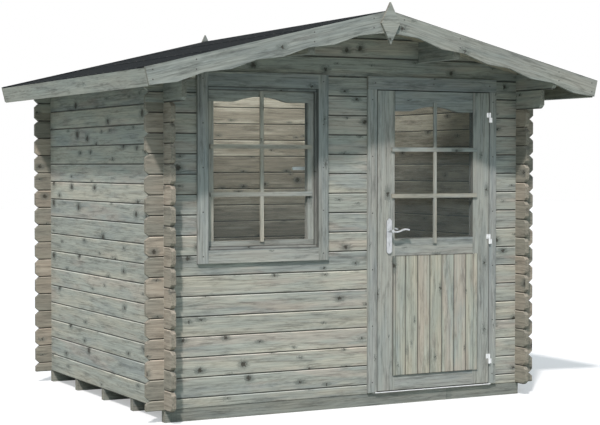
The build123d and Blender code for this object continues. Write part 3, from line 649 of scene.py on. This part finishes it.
# %% Dress the frame
FINISHES = (
    ("wall_odd_logs wall_even_logs lintel gable", end_log),
    ("left_wall right_wall corbel wall_plates", side_log),
    ("joists", joist_wood),
    ("floor_boards", floor_wood),
    ("barge_front_left barge_back_left", barge_woods["left"]),
    ("barge_front_right barge_back_right", barge_woods["right"]),
    ("fascias", fascia_wood),
    ("finials", finial_wood),
    ("purlins", purlin_wood),
    ("roof_boards", roof_board_wood),
    ("roof_felt", felt_material),
    ("glass", glass_material),
    ("window_casing_sides", window_upright_wood),
    ("door_casing_sides door_jambs door_stops", door_upright_wood),
    ("door_stiles", stile_wood),
    ("window_sash", sash_wood),
    ("window_frame", window_frame_wood),
    ("window_bars", window_bar_wood),
    ("door_bars", door_bar_wood),
    ("head rails door_sill", level_wood),
    ("door_panel", panel_wood),
    ("handle", satin_metal),
    ("window_handle", coated.material),
    ("hinge sill_strip", hinge_steel),
)
for name, node in nodes.items():
    for words, material in FINISHES:
        if any(word in name for word in words.split()):
            node.data.materials.clear()
            node.data.materials.append(material)
unpainted = [name for name, node in nodes.items()
             if not node.data.materials or "_" not in node.data.materials[0].name]
print("unpainted nodes:", unpainted)

# %% [markdown]
# The frame's edges are razor sharp; a plane and a hundred rains leave them round. A bevel
# modifier rounds them without touching the frame's own points. The handles get the most
# segments, because metal shows every edge as a line of light.

# %% Rounded edges
SHARP = radians(40)
ROUNDING = (
    ("barge finials fascias casing purlins", 0.002, 2),
    ("sash stiles rails window_frame bars jambs stops panel", 0.0014, 2),
    ("lever_handles", 0.0022, 3),
    ("handle_plates window_handle", 0.0016, 3),
    ("hinge sill_strip", 0.0006, 2),
)
for name, node in nodes.items():
    for words, radius, steps in ROUNDING:
        if any(word in name for word in words.split()) and "bevel" not in node.modifiers:
            rounding = node.modifiers.new("bevel", "BEVEL")
            rounding.width = radius
            rounding.segments = steps
            rounding.limit_method = "ANGLE"
            rounding.angle_limit = SHARP
            rounding.use_clamp_overlap = True

# %% [markdown]
# Boards are laid one at a time. Every board is an outline in one plane, drawn out along the third
# axis, and boards that meet in a V joint have their two touching edges planed off. The roof
# boards hang from the ridge to the eaves, and the floor boards run from front to back.


# %% Boards and strips
def drawn_out(sheet, outline, start, end):
    """A solid from an outline of (x, z) points, drawn out along y from start to end."""
    near = [sheet.verts.new((x, start, z)) for x, z in outline]
    far = [sheet.verts.new((x, end, z)) for x, z in outline]
    faces = [sheet.faces.new(near), sheet.faces.new(far[::-1])]
    for n, corner in enumerate(near):
        after = (n + 1) % len(near)
        faces.append(sheet.faces.new((corner, far[n], far[after], near[after])))
    bmesh.ops.recalc_face_normals(sheet, faces=faces)
    return near + far


def planed(sheet, edges, radius):
    bmesh.ops.bevel(sheet, geom=edges, offset=radius, segments=1, profile=0.5, affect="EDGES",
                    material=-1)


def piece(name, sheet, material, slot):
    """Turns a bmesh into an object that stays with the cabin."""
    mesh = bpy.data.meshes.new(name)
    sheet.to_mesh(mesh)
    sheet.free()
    made = bpy.data.objects.new(name, mesh)
    bpy.context.scene.collection.objects.link(made)
    mesh.materials.append(material)
    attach(made, "cabin")
    return made


LONG_EDGE = 0.1


def long_edges(sheet, corners, axis):
    """The edges between the given corners that run along an axis."""
    return [edge for edge in sheet.edges if set(edge.verts) <= corners
            and abs(edge.verts[0].co[axis] - edge.verts[1].co[axis]) > LONG_EDGE]


# %% Roof boards
RIDGE_UNDER = 2.282
THICK = 0.018
UPRIGHT = sqrt(1 + SLOPE**2)
BOARD_GAP = 0.0006
ROOF_V = 0.004
roof_back = slope_box_high.y
roof_count = round((roof_back - roof_front) / ROOF_BOARD)
roof_pitch = (roof_back - roof_front) / roof_count
for side, sign in (("left", -1), ("right", 1)):
    board_low, board_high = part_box(f"roof_boards_{side}")
    eave = max(abs(board_low.x), abs(board_high.x))
    lean = THICK * SLOPE / UPRIGHT
    outline = [(0, RIDGE_UNDER), (sign * (eave - lean), RIDGE_UNDER - SLOPE * (eave - lean)),
               (sign * eave, RIDGE_UNDER - SLOPE * eave + THICK * UPRIGHT),
               (0, RIDGE_UNDER + THICK * UPRIGHT)]
    boards = bmesh.new()
    for n in range(roof_count):
        start = roof_front + n * roof_pitch
        corners = drawn_out(boards, outline, start + BOARD_GAP / 2,
                            start + roof_pitch - BOARD_GAP / 2)
        under = {corners[0], corners[1], corners[4], corners[5]}
        planed(boards, long_edges(boards, under, 0), ROOF_V)
    laid = piece(f"roof_boarding_{side}", boards, roof_board_wood, "sawn_board")
    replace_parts(laid, f"roof_boards_{side}")

# %% Floor boards
FLOOR_V = 0.0016
door_low, door_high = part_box("door_head")
floor_count = round((room_high.x - room_low.x) / FLOOR_BOARD)
floor_pitch = (room_high.x - room_low.x) / floor_count
floor = bmesh.new()
for n in range(floor_count):
    left = room_low.x + n * floor_pitch + BOARD_GAP / 2
    right = left + floor_pitch - BOARD_GAP
    at_door = right > door_low.x and left < door_high.x
    outline = [(left, room_low.z), (right, room_low.z), (right, room_high.z), (left, room_high.z)]
    corners = drawn_out(floor, outline, door_high.y if at_door else room_low.y, room_high.y)
    over = {corners[2], corners[3], corners[6], corners[7]}
    planed(floor, long_edges(floor, over, 1), FLOOR_V)
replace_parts(piece("floor_planks", floor, floor_wood, "sawn_board"), "floor_boards")

# %% [markdown]
# Felt comes in rolls, so a slope shows the edges where one strip laps the next, and the last strip
# is folded over the ridge. Along each gable a narrow strip covers the end grain of the
# barge boards, which draws the thin dark line along their top edge. Clout nails with
# broad heads hold every edge.

# %% Felt laps and verges
FELT_THICK = 0.003
FELT_TOP = RIDGE_UNDER + (THICK + FELT_THICK) * UPRIGHT
FELT_HALF = 1.4815
LAP_THICK = 0.002
LAP_REACHES = (1.0, 0.48)
VERGE_IN = 1.13
BARGE_OVER = 0.0024
barge_out = abs(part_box("barge_front_left")[0].y)
barge_in = abs(roof_front)


def felt_outline(sign, reach, foot, head):
    """One slope of a felt strip, from the ridge to its reach, between two heights at the ridge."""
    return [(0, foot), (sign * reach, foot - SLOPE * reach),
            (sign * reach, head - SLOPE * reach), (0, head)]


strips = bmesh.new()
for sign in (-1, 1):
    for layer, reach in enumerate(LAP_REACHES):
        base = FELT_TOP + layer * LAP_THICK
        drawn_out(strips, felt_outline(sign, reach, base, base + LAP_THICK), -VERGE_IN, VERGE_IN)
    for end in (-1, 1):
        over = FELT_TOP + BARGE_OVER
        for foot, near, far in ((over, barge_out, barge_in), (FELT_TOP, barge_in, VERGE_IN)):
            verge = felt_outline(sign, FELT_HALF, foot, over + LAP_THICK)
            drawn_out(strips, verge, end * near, end * far)
piece("felt_strips", strips, felt_material, "roof_felt")

# %% Felt nails
NAIL_R = 0.0045
NAIL_HIGH = 0.0016
NAIL_EVERY = 0.12
# How far from the ridge each line of nails is, and how many laps it goes through.
NAIL_LINES = ((0.46, 2), (0.98, 1), (1.465, 0))
clouts = bmesh.new()
nail_rows = round(2 * VERGE_IN / NAIL_EVERY)
for sign in (-1, 1):
    tilt = Matrix.Rotation(sign * PITCH, 4, "Y")
    for reach, laps in NAIL_LINES:
        for n in range(nail_rows):
            y = -VERGE_IN + (n + 0.5) * 2 * VERGE_IN / nail_rows
            z = FELT_TOP + laps * LAP_THICK - SLOPE * reach
            place = Matrix.Translation((sign * reach, y, z)) @ tilt
            bmesh.ops.create_cone(clouts, cap_ends=True, segments=8, radius1=NAIL_R,
                                  radius2=NAIL_R * 0.8, depth=NAIL_HIGH, matrix=place)
piece("felt_nails", clouts, screw_steel, "hinge_metal")

# %% [markdown]
# The trim is screwed on, in rows down each board. Only the heads of the screws show, so only those
# are made: short cones whose axes point out of the board.

# %% Screws in the trim
SCREW_R = 0.005
SCREW_HIGH = 0.0016
BARGE_LINE = 2.306
BARGE_SCREWS = (0.10, 0.48, 1.191, 1.44)
BARGE_SCREWS_DOWN = (0.024, 0.076)
CASING_SCREWS = 5
CASING_SCREW_IN = 0.033
CASING_SCREW_END = 0.04
DOOR_CASING_SCREWS = 6
DOOR_CASING_SCREW_IN = (0.03, 0.025)
DOOR_CASING_SCREW_END = 0.06
HEAD_SCREW_END = 0.05


def screw_heights(low, high, end, count):
    """Evenly spaced heights, the first and the last a little in from the ends."""
    return [low + end + n * (high - low - 2 * end) / (count - 1) for n in range(count)]


casing_low, casing_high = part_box("window_casing_sides")
door_casing_low, door_casing_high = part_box("door_casing_sides")
head_low, head_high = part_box("door_casing_head")
casing_face = casing_low.y
screw_places = []
for x in BARGE_SCREWS:
    for down in BARGE_SCREWS_DOWN:
        for sign in (-1, 1):
            for end in (-1, 1):
                screw_places.append((sign * x, end * barge_out, BARGE_LINE - SLOPE * x - down))
for x in (casing_low.x + CASING_SCREW_IN, casing_high.x - CASING_SCREW_IN):
    for z in screw_heights(casing_low.z, casing_high.z, CASING_SCREW_END, CASING_SCREWS):
        screw_places.append((x, casing_face, z))
for x in (door_casing_low.x + DOOR_CASING_SCREW_IN[0],
          door_casing_high.x - DOOR_CASING_SCREW_IN[1]):
    for z in screw_heights(door_casing_low.z, door_casing_high.z, DOOR_CASING_SCREW_END,
                           DOOR_CASING_SCREWS):
        screw_places.append((x, casing_face, z))
head_middle = (head_low.x + head_high.x) / 2
for x in (head_low.x + HEAD_SCREW_END, head_middle, head_high.x - HEAD_SCREW_END):
    screw_places.append((x, casing_face, (head_low.z + head_high.z) / 2))

screws = bmesh.new()
for x, y, z in screw_places:
    turn = Matrix.Rotation(radians(90 if y < 0 else -90), 4, "X")
    bmesh.ops.create_cone(screws, cap_ends=True, segments=12, radius1=SCREW_R,
                          radius2=SCREW_R * 0.7, depth=SCREW_HIGH,
                          matrix=Matrix.Translation((x, y, z)) @ turn)
piece("trim_screws", screws, screw_steel, "hinge_metal")
print("added", roof_count * 2, "roof boards,", floor_count, "floor boards,",
      len(screw_places), "screws")

# %% [markdown]
# The studio is a pale floor under an even sky, with one sun from the upper left and a weak, wide
# haze round it. The sun's height and direction follow the shadow that the gable throws on
# the front wall: that shadow's peak lies a third of a metre to the right of the ridge and
# two thirds below it. What the camera sees past the floor is plain white.

# %% Floor
FLOOR_HALF = 40.0
FLOOR_SEEN = (0.62, 0.62, 0.62)
FLOOR_BOUNCE = (0.36, 0.41, 0.38)
FLOOR_GLOW = (0.40, 0.40, 0.40)
NO_LIGHT = (0.0, 0.0, 0.0)
floor_mesh = bpy.data.meshes.new("studio_floor")
sheet = bmesh.new()
bmesh.ops.create_grid(sheet, x_segments=1, y_segments=1, size=FLOOR_HALF)
sheet.to_mesh(floor_mesh)
sheet.free()
studio_floor = bpy.data.objects.new("studio_floor", floor_mesh)
bpy.context.scene.collection.objects.link(studio_floor)
pale = Finish("pale_floor")
rays = [pale.node("ShaderNodeLightPath", output=f"Is {kind} Ray")
        for kind in ("Camera", "Glossy", "Transmission")]
watched = rays[0].larger(rays[1]).larger(rays[2])
pale.set(Base_Color=pale.mix(watched, FLOOR_BOUNCE, FLOOR_SEEN), Roughness=0.9,
         Emission_Color=pale.mix(watched, NO_LIGHT, FLOOR_GLOW), Emission_Strength=1.0)
pale.shader.inputs["Specular IOR Level"].default_value = 0.0
floor_mesh.materials.append(pale.material)

# %% Sun and haze
SUN_ROUND = 39.5
SUN_UP = 50.0
SUN_POWER = 2.85
SUN_SPREAD = 3.0
SUN_COLOUR = (1.04, 0.975, 0.95)
HAZE_POWER = 0.8
HAZE_SPREAD = 75.0
HAZE_COLOUR = (0.90, 1.02, 1.10)
SKY_POWER = 0.32
SKY_COLOUR = (0.83, 1.03, 1.17, 1.0)
WHITE = (1.0, 1.0, 1.0, 1.0)

for name, power, spread, colour in (
    ("sun", SUN_POWER, SUN_SPREAD, SUN_COLOUR),
    ("haze_round_the_sun", HAZE_POWER, HAZE_SPREAD, HAZE_COLOUR),
):
    sun_data = bpy.data.lights.new(name, "SUN")
    sun_data.energy = power
    sun_data.angle = radians(spread)
    sun_data.color = colour
    sun = bpy.data.objects.new(name, sun_data)
    sun.rotation_euler = (radians(90 - SUN_UP), 0, radians(-SUN_ROUND))
    bpy.context.scene.collection.objects.link(sun)

# %% [markdown]
# The room gets a little light of its own, as from a reflector, because what the window lets in
# leaves the far walls too dark to see. The lamp hangs below the purlins, clear of the roof:
# a corner of it that stood out through the felt would show as a bright speck there.

# %% Room lamp
ROOM_LAMP_POWER = 10.2
ROOM_LAMP_WIDE = 1.1
ROOM_LAMP_HIGH = 0.22
ROOM_LAMP_PLACE = (0.1, room_high.y - 1.3, 1.9)
ROOM_LAMP_TILT = 104.0
ROOM_LAMP_TURN = 15.0
ROOM_LAMP_SPREAD = 125.0
room_lamp_data = bpy.data.lights.new("room_lamp", "AREA")
room_lamp_data.shape = "RECTANGLE"
room_lamp_data.size = ROOM_LAMP_WIDE
room_lamp_data.size_y = ROOM_LAMP_HIGH
room_lamp_data.energy = ROOM_LAMP_POWER
room_lamp_data.spread = radians(ROOM_LAMP_SPREAD)
room_lamp = bpy.data.objects.new("room_lamp", room_lamp_data)
room_lamp.location = ROOM_LAMP_PLACE
room_lamp.rotation_euler = (radians(ROOM_LAMP_TILT), 0, radians(-ROOM_LAMP_TURN))
room_lamp.visible_camera = False
room_lamp.visible_glossy = False
bpy.context.scene.collection.objects.link(room_lamp)

# %% Sky
world = bpy.data.worlds.new("studio")
bpy.context.scene.world = world
world.use_nodes = True
sky_tree = world.node_tree
sky = sky_tree.nodes["Background"]
sky.inputs["Color"].default_value = SKY_COLOUR
sky.inputs["Strength"].default_value = SKY_POWER
white = sky_tree.nodes.new("ShaderNodeBackground")
white.inputs["Color"].default_value = WHITE
path = sky_tree.nodes.new("ShaderNodeLightPath")
seen = path.outputs["Is Camera Ray"]
for kind in ("Is Glossy Ray", "Is Transmission Ray"):
    either = sky_tree.nodes.new("ShaderNodeMath")
    either.operation = "MAXIMUM"
    sky_tree.links.new(seen, either.inputs[0])
    sky_tree.links.new(path.outputs[kind], either.inputs[1])
    seen = either.outputs[0]
choose = sky_tree.nodes.new("ShaderNodeMixShader")
sky_tree.links.new(seen, choose.inputs[0])
sky_tree.links.new(sky.outputs[0], choose.inputs[1])
sky_tree.links.new(white.outputs[0], choose.inputs[2])
sky_tree.links.new(choose.outputs[0], sky_tree.nodes["World Output"].inputs["Surface"])
print("sun", SUN_POWER, "sky", SKY_POWER)
